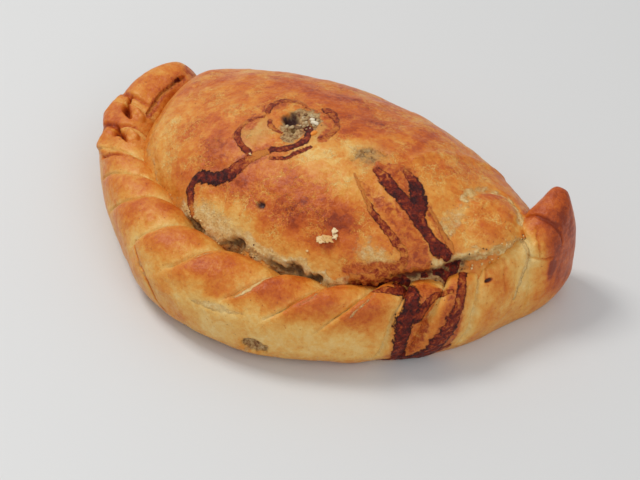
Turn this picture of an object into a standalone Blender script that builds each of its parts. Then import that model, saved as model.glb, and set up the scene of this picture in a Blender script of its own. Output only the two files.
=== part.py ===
"""Cornish pasty: one solid of baked shortcrust, a domed pocket with a crimped roll along its front.

Frame: metres, +Z up, resting on z = 0 with the centre of its box at x = y = 0. +X runs along the
length, from the flat tab at one end to the upturned horn at the other. -Y is the crimped front.
Sizes are named in millimetres and turned into metres once, where the mesh is made.
"""
import bmesh
import bpy
import numpy as np

for thing in list(bpy.data.objects):
    bpy.data.objects.remove(thing, do_unlink=True)

METRES_PER_MM = 0.001

# The pocket of filled pastry, one station per row: x, front y, back y, crown y, crown height.
POCKET_STATIONS = (
    (-96, 20, 46, 34, 20),
    (-88, 4, 61, 32, 34),
    (-70, -12, 73, 28, 46),
    (-40, -26, 79, 22, 53),
    (0, -32, 79, 20, 55),
    (35, -24, 69, 20, 51),
    (60, -8, 55, 25, 42),
    (76, 12, 45, 28, 32),
    (82, 24, 40, 32, 22),
)
POCKET_WAIST = 12
POCKET_COLUMNS = 44
POCKET_ROWS = 36

# The crimped roll, one station per row: crest x, crest y, crest height, outer reach, inner reach,
# waist height. The first station is the flat tab and the last one is the tip of the horn.
ROLL_STATIONS = (
    (-94, 61, 31, 8, 12, 15),
    (-104, 46, 31, 12, 12, 15),
    (-101, 20, 30, 13, 11, 14),
    (-85, -4, 29, 12, 12, 13),
    (-60, -24, 30, 14, 12, 13),
    (-35, -37, 31, 17, 12, 13),
    (-5, -40, 31, 17, 12, 13),
    (20, -34, 31, 15, 12, 13),
    (42, -21, 31, 12, 12, 13),
    (59, -3, 31, 10, 12, 14),
    (69, 15, 33, 9, 12, 15),
    (76, 33, 41, 11, 12, 17),
    (77, 53, 52, 10, 10, 24),
)
ROLL_COLUMNS = 152
ROLL_ROWS = 20
ROLL_END_ROUNDING = 14
ROLL_FOOT = 16  # how much further the roll's foot reaches under the pocket than its waist does

# The crimps: width of each fold along the roll's crest. The long flat tab comes first, then short curls,
# wide folds along the front, narrow ones where the roll turns and the horn last.
FOLD_WIDTHS = (40, 15, 15, 15, 15, 20, 20, 25, 20, 20, 15, 15, 15, 20, 50)
FOLD_HEIGHT = 2.2
CREASE_SLANT = 0.19  # millimetres along the crest for each degree round the section

# Both forms reach this far below the table, where the flat underside is cut.
SINK = 3

BAKED_CRUST = (0.60, 0.31, 0.11, 1.0)


def smooth_through(knots, values, at):
    """Natural cubic spline through rows of values, read at each given distance."""
    knots = np.asarray(knots, float)
    values = np.asarray(values, float)
    gaps = np.diff(knots)
    steps = np.diff(values, axis=0) / gaps[:, None]
    matrix = np.eye(len(knots))
    target = np.zeros_like(values)
    for i in range(1, len(knots) - 1):
        matrix[i, i - 1:i + 2] = gaps[i - 1], 2 * (gaps[i - 1] + gaps[i]), gaps[i]
        target[i] = 3 * (steps[i] - steps[i - 1])
    bend = np.linalg.solve(matrix, target)
    slope = steps - gaps[:, None] * (2 * bend[:-1] + bend[1:]) / 3
    twist = np.diff(bend, axis=0) / (3 * gaps[:, None])
    span = np.clip(np.searchsorted(knots, at) - 1, 0, len(knots) - 2)
    past = (at - knots[span])[:, None]
    return values[span] + slope[span] * past + bend[span] * past**2 + twist[span] * past**3


def signed_power(value, power):
    """A power that keeps the value's sign, which squares up or slims a circle's sine and cosine."""
    return np.sign(value) * np.abs(value)**power


def pocket_rows():
    """Sections of the pocket: each is a flattened oval whose front and back reach differ."""
    along = np.linspace(-1, 1, POCKET_COLUMNS)
    stations = np.array(POCKET_STATIONS, float)
    middle = (stations[0, 0] + stations[-1, 0]) / 2
    half = (stations[-1, 0] - stations[0, 0]) / 2
    x = middle + half * np.sin(along * np.pi / 2)
    front, back, crown, top = smooth_through(stations[:, 0], stations[:, 1:], x).T
    closing = np.sqrt(1 - along**14)
    centre = (front + back) / 2
    front, back, crown = (centre + (edge - centre) * closing for edge in (front, back, crown))
    turn = np.linspace(0, 2 * np.pi, POCKET_ROWS, endpoint=False)
    cosine, sine = np.cos(turn), np.sin(turn)
    side = np.where(cosine < 0, front[:, None], back[:, None])
    y = crown[:, None] + (side - crown[:, None]) * np.abs(cosine)**0.87
    rise = ((top - POCKET_WAIST) * closing)[:, None] * np.abs(sine)
    drop = ((POCKET_WAIST + SINK) * closing)[:, None] * np.abs(sine)**0.67
    z = POCKET_WAIST + np.where(sine > 0, rise, -drop)
    return np.stack([np.broadcast_to(x[:, None], y.shape), y, z], axis=-1)


def fold_swell(distance, angle):
    """Height of the crimps: a rounded swell between slanting creases, fading to the belly."""
    slanted = distance + CREASE_SLANT * (90 - angle)
    creases = np.concatenate([[0.0], np.cumsum(FOLD_WIDTHS)])
    fold = np.clip(np.searchsorted(creases, slanted) - 1, 0, len(creases) - 2)
    through = np.clip((slanted - creases[fold]) / (creases[fold + 1] - creases[fold]), 0, 1)
    fade = np.clip((angle - 5) / 55, 0, 1) * np.clip((175 - angle) / 45, 0, 1)
    return FOLD_HEIGHT * (np.sin(np.pi * through)**0.8 - 0.5) * fade


def roll_rows():
    """Sections of the crimped roll, swept along its crest and rounded off at both ends."""
    stations = np.array(ROLL_STATIONS, float)
    legs = np.linalg.norm(np.diff(stations[:, :2], axis=0), axis=1)
    knots = np.concatenate([[0], np.cumsum(legs)])
    length = knots[-1]
    share = np.linspace(0, 1, ROLL_COLUMNS)
    distance = length * (0.15 * (0.5 - 0.5 * np.cos(np.pi * share)) + 0.85 * share)
    x, y, crest, outer, inner, waist = smooth_through(knots, stations, distance).T
    heading = np.stack([np.gradient(x, distance), np.gradient(y, distance)], axis=1)
    heading /= np.linalg.norm(heading, axis=1, keepdims=True)
    near_end = np.clip(np.minimum(distance, length - distance) / ROLL_END_ROUNDING, 0, 1)
    closing = np.sqrt(1 - (1 - near_end)**2)[:, None]
    turn = np.linspace(0, 2 * np.pi, ROLL_ROWS, endpoint=False)
    cosine, sine = np.cos(turn)[None], np.sin(turn)[None]
    swell = fold_swell(distance[:, None], np.degrees(turn)[None])
    reach = np.where(cosine > 0, outer[:, None], inner[:, None]) * signed_power(cosine, 0.91)
    foot = ROLL_FOOT * np.where((cosine < 0) & (sine < 0), 2 * sine * cosine, 0)
    reach = (reach + swell * cosine - foot) * closing
    rise = (crest - waist)[:, None] * np.abs(sine)**0.91 + swell * sine
    drop = (waist + SINK)[:, None] * np.abs(sine)**0.83
    z = waist[:, None] + np.where(sine > 0, rise, -drop) * closing
    return np.stack([x[:, None] + heading[:, 1:] * reach, y[:, None] - heading[:, :1] * reach, z], axis=-1)


def tube_object(name, rows):
    """A closed skin over rows of points, each end row drawn together into one point."""
    mesh = bpy.data.meshes.new(name)
    shape = bmesh.new()
    rings = [[shape.verts.new(point) for point in row] for row in rows[1:-1]]
    count = len(rings[0])
    for ring, following in zip(rings, rings[1:]):
        for i in range(count):
            j = (i + 1) % count
            shape.faces.new((ring[i], ring[j], following[j], following[i]))
    for ring, end_row in ((rings[0], rows[0]), (rings[-1], rows[-1])):
        tip = shape.verts.new(end_row.mean(axis=0))
        for i in range(count):
            shape.faces.new((ring[i], ring[(i + 1) % count], tip))
    bmesh.ops.recalc_face_normals(shape, faces=shape.faces)
    shape.to_mesh(mesh)
    shape.free()
    mesh.shade_smooth()
    piece = bpy.data.objects.new(name, mesh)
    bpy.context.scene.collection.objects.link(piece)
    return piece


def table_object(size):
    """A block whose top is the table, which cuts the flat underside."""
    mesh = bpy.data.meshes.new("table_cutter")
    shape = bmesh.new()
    bmesh.ops.create_cube(shape, size=size)
    bmesh.ops.translate(shape, vec=(0, 0, -size / 2), verts=shape.verts)
    shape.to_mesh(mesh)
    shape.free()
    piece = bpy.data.objects.new("table_cutter", mesh)
    bpy.context.scene.collection.objects.link(piece)
    return piece


def add_boolean(target, operand, operation):
    """Join or cut with another form, which then stays out of the build."""
    operand.hide_render = True
    operand.display_type = "WIRE"
    step = target.modifiers.new(operation.lower(), "BOOLEAN")
    step.operation = operation
    step.solver = "EXACT"
    step.object = operand


def crust_material():
    """Matt baked shortcrust."""
    material = bpy.data.materials.new("baked_crust")
    material.use_nodes = True
    shader = material.node_tree.nodes["Principled BSDF"]
    shader.inputs["Base Color"].default_value = BAKED_CRUST
    shader.inputs["Roughness"].default_value = 0.6
    shader.inputs["Metallic"].default_value = 0.0
    return material


def build_pasty():
    """The pocket and its crimped roll joined into one solid, cut flat where it rests."""
    pocket = pocket_rows()
    roll = roll_rows()
    points = np.concatenate([pocket.reshape(-1, 3), roll.reshape(-1, 3)])
    above = points[points[:, 2] > 0]
    centre = (above.min(axis=0) + above.max(axis=0)) / 2
    centre[2] = 0
    pasty = tube_object("pasty", (pocket - centre) * METRES_PER_MM)
    crimp = tube_object("crimped_roll_form", (roll - centre) * METRES_PER_MM)
    pasty.data.materials.append(crust_material())
    add_boolean(pasty, crimp, "UNION")
    add_boolean(pasty, table_object(0.4), "DIFFERENCE")


build_pasty()
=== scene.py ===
from math import cos, radians, sin

import bpy
import numpy as np
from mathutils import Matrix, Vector


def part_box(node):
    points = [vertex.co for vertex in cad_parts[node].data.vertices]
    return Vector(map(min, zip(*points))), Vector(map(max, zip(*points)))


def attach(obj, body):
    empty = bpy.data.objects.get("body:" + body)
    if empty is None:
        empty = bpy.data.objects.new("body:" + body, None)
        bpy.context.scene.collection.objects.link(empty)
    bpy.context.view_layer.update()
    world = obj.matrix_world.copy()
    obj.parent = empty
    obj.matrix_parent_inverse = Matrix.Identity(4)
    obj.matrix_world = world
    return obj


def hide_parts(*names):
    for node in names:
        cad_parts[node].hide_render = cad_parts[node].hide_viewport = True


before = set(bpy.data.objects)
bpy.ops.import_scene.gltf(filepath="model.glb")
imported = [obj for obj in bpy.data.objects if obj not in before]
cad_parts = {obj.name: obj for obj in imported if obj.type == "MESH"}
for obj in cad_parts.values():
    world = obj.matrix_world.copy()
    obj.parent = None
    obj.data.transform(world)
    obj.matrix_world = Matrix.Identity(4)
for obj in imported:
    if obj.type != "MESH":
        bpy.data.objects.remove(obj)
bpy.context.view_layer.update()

# ---------------------------------------------------------------- sizes, in millimetres
MM = 0.001

# The pocket of filled pastry: x, front y, back y, crown y, crown height.
POCKET_STATIONS = (
    (-96, 20, 46, 34, 20),
    (-88, 4, 61, 32, 34),
    (-70, -12, 73, 28, 46),
    (-40, -26, 79, 22, 53),
    (0, -32, 79, 20, 55),
    (35, -24, 69, 20, 51),
    (60, -8, 55, 25, 42),
    (76, 12, 45, 28, 32),
    (82, 24, 40, 32, 22),
)
POCKET_WAIST = 12
POCKET_COLUMNS = 320
POCKET_ROWS = 296

# The crimped roll: crest x, crest y, crest height, outer reach, inner reach, waist height.
ROLL_STATIONS = (
    (-94, 61, 31, 8, 12, 15),
    (-104, 46, 31, 12, 12, 15),
    (-101, 20, 30, 13, 11, 14),
    (-85, -4, 29, 12, 12, 13),
    (-60, -24, 30, 14, 12, 13),
    (-35, -37, 31, 17, 13, 13),
    (-5, -40, 31, 17, 14, 13),
    (20, -34, 31, 15, 14, 13),
    (42, -21, 31, 12, 13, 13),
    (59, -3, 31, 10, 13, 14),
    (69, 15, 33, 9, 12, 15),
    (76, 33, 41, 11, 12, 17),
    (77, 53, 52, 10, 10, 24),
)
ROLL_COLUMNS = 620
ROLL_ROWS = 154
ROLL_END_ROUNDING = 11
ROLL_FOOT = 16
SINK = 3
UNDERSIDE = 265  # degrees round the section, past which the outer side begins again below 0
ARC_PER_DEGREE = 0.28  # distance round the roll's section for each degree

# The folds, one row each: width along the crest, how far the crease before it slants for each degree
# round the section, how low round the section it runs, and how high the fold stands.
FOLDS = (
    (40, 0.10, 30, 0.8),
    (15, 0.10, 50, 0.8),
    (15, 0.10, 50, 1.0),
    (15, 0.20, 20, 1.5),
    (15, 0.20, 15, 1.5),
    (20, 0.15, 10, 2.5),
    (20, 0.10, 30, 3.0),
    (25, 0.15, 40, 3.0),
    (20, 0.20, 45, 3.0),
    (20, 0.25, 35, 3.5),
    (15, 0.25, 25, 3.0),
    (15, 0.10, -30, 2.5),
    (15, 0.15, -30, 2.5),
    (20, 0.10, -30, 1.5),
    (50, 0.05, 20, 0.8),
)


# ---------------------------------------------------------------- sums used by every surface
def smooth_through(knots, values, at):
    """Natural cubic spline through rows of values, read at each given distance."""
    knots = np.asarray(knots, float)
    values = np.asarray(values, float)
    gaps = np.diff(knots)
    steps = np.diff(values, axis=0) / gaps[:, None]
    matrix = np.eye(len(knots))
    target = np.zeros_like(values)
    for i in range(1, len(knots) - 1):
        matrix[i, i - 1:i + 2] = gaps[i - 1], 2 * (gaps[i - 1] + gaps[i]), gaps[i]
        target[i] = 3 * (steps[i] - steps[i - 1])
    bend = np.linalg.solve(matrix, target)
    slope = steps - gaps[:, None] * (2 * bend[:-1] + bend[1:]) / 3
    twist = np.diff(bend, axis=0) / (3 * gaps[:, None])
    span = np.clip(np.searchsorted(knots, at) - 1, 0, len(knots) - 2)
    past = (at - knots[span])[:, None]
    return values[span] + slope[span] * past + bend[span] * past**2 + twist[span] * past**3


def signed_power(value, power):
    """A power that keeps the value's sign, which squares up or slims a circle's sine and cosine."""
    return np.sign(value) * np.abs(value)**power


def ease(value, low, high):
    """0 up to low, 1 past high, and a smooth S between them: 3t squared less 2t cubed."""
    t = np.clip((value - low) / (high - low), 0, 1)
    return t * t * (3 - 2 * t)


def lumps(points, size, seed):
    """Smooth lumps between -1 and 1: random heights on a lattice of the given size, blended between."""
    table = np.random.default_rng(seed).uniform(-1, 1, (24, 24, 24))
    place = points / size + 100
    corner = np.floor(place).astype(int)
    part = place - corner
    part = part * part * (3 - 2 * part)
    total = np.zeros(points.shape[:-1])
    for i in (0, 1):
        for j in (0, 1):
            for k in (0, 1):
                weight = np.abs(1 - i - part[..., 0]) * np.abs(1 - j - part[..., 1])
                weight = weight * np.abs(1 - k - part[..., 2])
                at = (corner + (i, j, k)) % 24
                total += weight * table[at[..., 0], at[..., 1], at[..., 2]]
    return total


def wobble(points, size, seed):
    """Two sets of lumps as a small sideways move for each point, from the seed and the one after it."""
    return np.stack([lumps(points, size, seed), lumps(points, size, seed + 1)], axis=-1)


def along_path(at, path):
    """Nearness to a path of (place, place, half width, strength) rows, and the strength there.

    Nearness is 1 on the line, falls evenly to 0 at the half width and goes on falling outside.
    """
    path = np.asarray(path, float)
    best = np.full(at.shape[:-1], -9.0)
    strength = np.zeros(at.shape[:-1])
    for start, end in zip(path, path[1:]):
        leg = end[:2] - start[:2]
        share = np.clip((at - start[:2]) @ leg / max(leg @ leg, 1e-9), 0, 1)
        gap = np.linalg.norm(at - start[:2] - share[..., None] * leg, axis=-1)
        near = 1 - gap / (start[2] + (end[2] - start[2]) * share)
        nearer = near > best
        best = np.where(nearer, near, best)
        strength = np.where(nearer, start[3] + (end[3] - start[3]) * share, strength)
    return best, strength


def curve(*points):
    """A smooth path through a few chosen (place, place, half width, strength) rows, five legs between
    each two. Its half width and strength stay at 0.3 or more.
    """
    rows = np.array(points, float)
    knots = np.arange(len(rows))
    fine = smooth_through(knots, rows, np.linspace(0, len(rows) - 1, 5 * len(rows) - 4))
    return np.column_stack([fine[:, :2], np.maximum(fine[:, 2:], 0.3)])


def arc(centre, reach, start, end, width, strength):
    """A path along an oval, from one angle to another, that thins out a little towards its end."""
    turn = np.radians(np.linspace(start, end, 9))
    thin = np.linspace(1, 0.75, 9)
    return np.column_stack([centre[0] + reach[0] * np.cos(turn), centre[1] + reach[1] * np.sin(turn),
                            width * thin, strength * thin])


def stains(at, paths):
    """Juice that ran along several paths: nearness to the nearest one, and how dark it dried."""
    juice = np.full(at.shape[:-1], -3.0)
    depth = np.zeros(at.shape[:-1])
    for path in paths:
        near, strength = along_path(at, path)
        juice = np.maximum(juice, near)
        depth = np.maximum(depth, ease(near, -0.5, 0.0) * strength)
    return juice, depth


def tinted(at, paths):
    """How far thin juice has tinted each place: each path's strength, fading out past its edge."""
    tint = np.zeros(at.shape[:-1])
    for path in paths:
        near, strength = along_path(at, path)
        tint = np.maximum(tint, ease(near, -0.25, 0.7) * strength)
    return tint


def spot(at, centre, reach, edge=0.35):
    """1 inside an oval of the given reaches and 0 outside, with a soft edge of the given share."""
    gap = np.linalg.norm((at - np.array(centre)) / np.array(reach), axis=-1)
    return 1 - ease(gap, 1 - edge, 1 + edge)


def grid_normals(points):
    """Unit normals of a grid whose rows close on themselves, from the differences between neighbours."""
    along = np.gradient(points, axis=0)
    around = (np.roll(points, -1, axis=1) - np.roll(points, 1, axis=1)) / 2
    normal = np.cross(around, along)
    return normal / np.maximum(np.linalg.norm(normal, axis=-1, keepdims=True), 1e-9)


def turns(rows, share, low, high):
    """Angles round a section, with the given share of the rows between the low and high angles."""
    seen = int(rows * share)
    open_side = np.linspace(low, high, seen, endpoint=False)
    hidden = np.linspace(high, low + 360, rows - seen, endpoint=False)
    return np.concatenate([open_side, hidden])


# ---------------------------------------------------------------- the plain forms
def pocket_form():
    """Sections of the pocket: each is a flattened oval whose front and back reach differ."""
    along = np.linspace(-1, 1, POCKET_COLUMNS)
    stations = np.array(POCKET_STATIONS, float)
    middle = (stations[0, 0] + stations[-1, 0]) / 2
    half = (stations[-1, 0] - stations[0, 0]) / 2
    x = middle + half * np.sin(along * np.pi / 2)
    front, back, crown, top = smooth_through(stations[:, 0], stations[:, 1:], x).T
    closing = np.sqrt(1 - along**14)
    centre = (front + back) / 2
    front, back, crown = (centre + (edge - centre) * closing for edge in (front, back, crown))
    angle = turns(POCKET_ROWS, 0.84, -8, 188)
    cosine, sine = np.cos(np.radians(angle)), np.sin(np.radians(angle))
    side = np.where(cosine < 0, front[:, None], back[:, None])
    y = crown[:, None] + (side - crown[:, None]) * np.abs(cosine)**0.87
    rise = ((top - POCKET_WAIST) * closing)[:, None] * np.abs(sine)
    drop = ((POCKET_WAIST + SINK) * closing)[:, None] * np.abs(sine)**0.67
    z = POCKET_WAIST + np.where(sine > 0, rise, -drop)
    return np.stack([np.broadcast_to(x[:, None], y.shape), y, z], axis=-1)


def roll_form():
    """Sections of the crimped roll, swept along its crest and rounded off at both ends.

    Returns the points with each one's distance along the crest and angle round the section.
    """
    stations = np.array(ROLL_STATIONS, float)
    legs = np.linalg.norm(np.diff(stations[:, :2], axis=0), axis=1)
    knots = np.concatenate([[0], np.cumsum(legs)])
    length = knots[-1]
    share = np.linspace(0, 1, ROLL_COLUMNS)
    distance = length * (0.15 * (0.5 - 0.5 * np.cos(np.pi * share)) + 0.85 * share)
    x, y, crest, outer, inner, waist = smooth_through(knots, stations, distance).T
    heading = np.stack([np.gradient(x, distance), np.gradient(y, distance)], axis=1)
    heading /= np.linalg.norm(heading, axis=1, keepdims=True)
    near_end = np.clip(np.minimum(distance, length - distance) / ROLL_END_ROUNDING, 0, 1)
    closing = np.sqrt(1 - (1 - near_end)**2)[:, None]
    angle = turns(ROLL_ROWS, 0.8, -35, 185)
    cosine, sine = np.cos(np.radians(angle))[None], np.sin(np.radians(angle))[None]
    foot = ROLL_FOOT * np.where((cosine < 0) & (sine < 0), 2 * sine * cosine, 0)
    reach = np.where(cosine > 0, outer[:, None], inner[:, None]) * signed_power(cosine, 0.91)
    reach = (reach - foot) * closing
    rise = (crest - waist)[:, None] * np.abs(sine)**0.91
    drop = (waist + SINK)[:, None] * np.abs(sine)**0.83
    z = waist[:, None] + np.where(sine > 0, rise, -drop) * closing
    points = np.stack([x[:, None] + heading[:, 1:] * reach, y[:, None] - heading[:, :1] * reach, z], axis=-1)
    angle = np.where(angle > UNDERSIDE, angle - 360, angle)
    return points, np.broadcast_to(distance[:, None], z.shape), np.broadcast_to(angle[None], z.shape)


# ---------------------------------------------------------------- what marks the pocket, from above
VENT_MASH = (-21, 22)
# Trails of juice: each point of a curve is x, y, half width and strength.
FIRST_TRAIL = (
    arc((-24, 13), (10, 10), 50, -85, 1.8, 1.0),
    curve((-24, 2, 1.6, 0.4), (-30, -3, 2.2, 0.5), (-36, -11, 2.5, 1.0), (-46, -11, 1.7, 1.0)),
    curve((-46, -11, 1.7, 1.0), (-47, -15, 1.5, 0.8), (-43, -21, 1.0, 0.5)),
)
SECOND_TRAIL = (
    curve((18, 11, 1.8, 0.6), (27, 7, 2.5, 0.9), (37, 3, 2.1, 0.8), (50, -2, 1.8, 0.9)),
    curve((27, 16, 1.6, 0.6), (34, 12, 2.5, 1.0), (38, 6, 2.8, 1.0), (43, 1, 1.9, 0.9), (53, -1, 1.6, 0.9)),
    curve((12, 5, 0.4, 0.2), (20, -1, 0.8, 0.4), (28, -6, 1.3, 0.8), (40, -9, 1.0, 0.5)),
    curve((40, -9, 1.0, 0.5), (41, -13, 1.5, 0.5), (35, -19, 1.8, 0.5), (26, -23, 1.2, 0.4)),
    curve((41, 8, 0.6, 0.3), (48, 5, 0.8, 0.3), (54, 1, 1.0, 0.4)),
)
# Where thinner juice has only tinted the crust: x, y, half width and strength.
TINTS = (
    ((32, 4, 3, 0.5), (40, -5, 6, 1.0), (48, -10, 5, 1.0)),
    ((48, -10, 3, 1.0), (38, -17, 3, 1.0), (24, -22, 2, 0.5)),
    ((18, 13, 3, 0.9), (28, 15, 4, 1.0)),
    ((26, 13, 3, 0.8), (38, 5, 3, 0.7)),
    ((-9, 26, 3, 0.8), (-8, 15, 2, 0.6)),
    ((-38, 24, 3, 0.6), (-34, 29, 3, 0.6)),
    ((-38, 12, 3, 0.5), (-39, 18, 3, 0.5)),
    ((14, 4, 2, 0.2), (32, -2, 4, 0.5)),
    ((41, 8, 2, 0.4), (53, 1, 2, 0.5)),
    ((-26, 1, 4, 0.9), (-37, -10, 3, 0.7)),
    ((-12, 31, 3, 0.8), (-12, 27, 3, 0.8)),
    ((-46, 2, 4, 0.3), (-41, -4, 5, 0.3)),
)
# Rings of dried juice round the vent and the blisters beside it.
VENT_RINGS = (
    arc((-30, 10), (11, 10), 265, 120, 1.3, 0.75),
    arc((-29, 26), (8, 7), 215, 40, 1.4, 0.7),
    arc((-17, 22), (10, 11), 90, -35, 1.4, 0.7),
    arc((-24, 14), (14, 15), -15, -80, 1.0, 0.9),
    arc((-24, 24), (10, 11), 220, 265, 1.2, 0.7),
)
# The torn front edge of the top crust: x and y.
TORN_EDGE = (
    (-88, 25), (-83, 5), (-68, -10), (-50, -19), (-30, -26), (0, -28),
    (20, -26), (35, -20), (50, -8), (60, 3), (70, 14), (75, 28),
)
# The groove before the torn edge opens between these two places in x.
GROOVE_STARTS = (-56, -46)
# Where the groove stands open and filling shows: x, y, reach in x, reach in y.
OPENINGS = (
    (-40, -22, 5, 3),
    (-22, -27, 5, 4),
    (2, -29, 7, 4),
    (13, -28, 3, 3),
)
# The round bump towards the horn, the crack behind it, and the wrinkles and fold beyond the trails.
EAST_BUMP = (60, 21)
EAST_BUMP_REACH = (9.5, 13)
EAST_CRACK = arc((60, 23), (11, 12), 190, 25, 2.5, 1)
WRINKLES = (
    arc((14, 12), (7, 8), 160, 60, 1.2, 1),
    arc((12, 9), (5, 6), 160, 60, 1.0, 0.9),
)
SHOULDER_FOLD = curve((27, 25, 1.5, 1), (36, 40, 2, 1), (50, 53, 1.5, 1))
SMALL_PIT = (-16, -17)

# Patches of the top that baked darker or stayed paler: x, y, reach in x, reach in y, change of browning.
POCKET_PATCHES = (
    (-12, -12, 26, 9, 0.09),
    (6, -16, 24, 8, 0.09),
    (-30, -12, 10, 5, 0.10),
    (-6, -15, 7, 4, 0.08),
    (14, -12, 8, 6, 0.05),
    (-20, 44, 60, 16, 0.06),
    (-30, 46, 22, 5, 0.10),
    (-4, 34, 12, 8, 0.08),
    (-62, 38, 12, 16, -0.08),
    (-72, 2, 6, 8, -0.10),
    (-10, 6, 8, 7, -0.08),
    (-52, 0, 12, 13, 0.12),
    (-66, 24, 14, 16, 0.04),
    (-2, 8, 14, 10, -0.16),
    (14, 2, 10, 8, -0.12),
    (8, 18, 7, 6, -0.18),
    (40, 16, 8, 8, -0.10),
    (52, 8, 7, 7, -0.12),
    (59, 27, 7, 7, 0.08),
    (38, -17, 10, 5, -0.14),
    (-60, -6, 10, 6, -0.12),
    (-77, 12, 8, 12, -0.10),
    (-30, -22, 16, 5, -0.22),
    (10, -26, 22, 4, -0.16),
    (-32, 12, 7, 7, -0.06),
)


def above(points):
    """Places seen from above, with a small natural wander so that no mark runs ruler straight."""
    return points[..., :2] + wobble(points, 5, 11) * 0.8 + wobble(points, 1.6, 13) * 0.35


def torn_edge_gap(points):
    """Distance behind the torn front edge: above 0 on the crust, below 0 in the groove before it."""
    edge = np.array(TORN_EDGE, float)
    at = points[..., :2]
    best = np.full(at.shape[:-1], 1e9)
    signed = np.full(at.shape[:-1], 1e9)
    for start, end in zip(edge, edge[1:]):
        leg = end - start
        share = np.clip((at - start) @ leg / (leg @ leg), 0, 1)
        offset = at - start - share[..., None] * leg
        gap = np.linalg.norm(offset, axis=-1)
        side = np.sign(leg[0] * offset[..., 1] - leg[1] * offset[..., 0])
        signed = np.where(gap < best, gap * side, signed)
        best = np.minimum(gap, best)
    return signed + 0.9 * lumps(points, 4, 21) + 0.5 * lumps(points, 1.3, 22)


def pocket_marks(points):
    """Everything that the pocket's relief and colours share, worked out once for each point."""
    at = above(points)
    top = ease(points[..., 2], 8, 20)
    juice, depth = stains(at, FIRST_TRAIL + SECOND_TRAIL + VENT_RINGS)
    tint = tinted(at, TINTS)
    edge_gap = torn_edge_gap(points)
    front = ease(points[..., 0], *GROOVE_STARTS) * top
    hole = spot(at, (-25.5, 22.5), (2.4, 3.4), 0.35) * top
    hole = np.maximum(hole, 0.8 * spot(at, (-22, 17), (1.3, 2.0), 0.4) * top)
    ragged = at + 1.3 * wobble(points, 2.2, 25)
    # The hollow round the vent hole only darkens the colour: painted shade in the opening.
    hollow = spot(ragged, (-26, 22.5), (3.0, 4.4), 0.35) * top
    mash = spot(ragged, VENT_MASH, (7.0, 9.0), 0.35) * top
    mash = np.maximum(mash, 0.85 * spot(ragged, (-20, 13), (4.0, 5.0), 0.5) * top)
    blister = np.maximum(spot(at, (-34, 10), (6, 8), 0.5), spot(at, (-11, 20), (4, 7), 0.5)) * top
    in_groove = ease(edge_gap, 0.1, -0.5) * front
    wet = in_groove * ease(points[..., 0] + 4 * lumps(points, 3, 23), 20, 28) * ease(points[..., 0], 66, 58)
    gape = np.zeros(juice.shape)
    for x, y, wide, deep in OPENINGS:
        gape = np.maximum(gape, spot(at, (x, y), (wide, deep), 0.4))
    gape = np.maximum(gape, ease(points[..., 0], 20, 28))
    # The crack line is a groove in the relief and also painted shade in the colours.
    crack_line = ease(np.abs(edge_gap + 0.55), 0.8, 0.2) * front * ease(points[..., 0], 66, 56)
    patchy = wet * ease(lumps(points, 2.5, 33), 0.35, -0.1)
    depth = np.maximum(depth, patchy)
    juice = np.maximum(juice, 0.8 * patchy - 3 * (1 - patchy))
    bump = np.linalg.norm((at - np.array(EAST_BUMP)) / np.array(EAST_BUMP_REACH), axis=-1)
    bump += 0.12 * lumps(points, 8, 24)
    crack, _ = along_path(at, EAST_CRACK)
    wrinkle, _ = stains(at, WRINKLES)
    fold, _ = along_path(at, SHOULDER_FOLD)
    pit = spot(at, SMALL_PIT, (1.7, 1.1), 0.3) * top
    return dict(at=at, top=top, juice=np.clip(juice, -3, 1), depth=depth, edge_gap=edge_gap, hole=hole,
                hollow=hollow, mash=mash, blister=blister, front=front, gape=gape, crack_line=crack_line,
                tint=tint, bump=bump, crack=crack, wrinkle=wrinkle, fold=fold, pit=pit)


def pocket_relief(points, marks):
    """Height of the pocket's surface over its plain form, along the normal."""
    height = 1.1 * lumps(points, 26, 1) + 0.5 * lumps(points, 10, 2) + 0.2 * lumps(points, 4, 3)
    height += 1.5 * spot(points[..., :2], (-88, 44), (10, 18), 0.7)
    height += 0.07 * lumps(points, 1.4, 4)
    crust = ease(marks["edge_gap"], -0.3, 0.6)
    height += (2.2 * crust - 1.2) * ease(np.abs(marks["edge_gap"]), 14, 2) * marks["front"]
    height -= 0.8 * ease(np.abs(marks["edge_gap"]), 3.0, 0) * (1 - marks["front"]) * marks["top"]
    height += 0.6 * (1 - crust) * lumps(points, 1.6, 5) * marks["front"]
    height += (1 - crust) * marks["front"] * (2.2 * (1 - marks["gape"]) - 0.6 * marks["gape"])
    height -= 0.8 * marks["crack_line"] * (0.3 + 0.7 * marks["gape"])
    height += ease(marks["juice"], -0.1, 0.4) * (0.2 + 0.3 * marks["depth"] * lumps(points, 1.5, 8))
    height -= 2.6 * marks["hole"] + 0.8 * marks["mash"]
    height += 0.6 * marks["mash"] * lumps(points, 2.2, 6) + 0.3 * marks["blister"]
    height += 1.8 * (1 - ease(marks["bump"], 0.4, 1.25))
    height -= 0.5 * np.clip(1 - np.abs(marks["bump"] - 1.12) / 0.16, 0, 1) * ease(marks["at"][..., 1], 18, 28)
    height -= 0.8 * ease(marks["crack"], 0, 0.7) * (0.6 + 0.4 * lumps(points, 1.2, 7))
    height -= 1.3 * ease(marks["wrinkle"], 0, 0.9)
    height += 0.8 * ease(marks["fold"], -1, 1)
    height -= 1.3 * marks["pit"]
    return height


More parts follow.
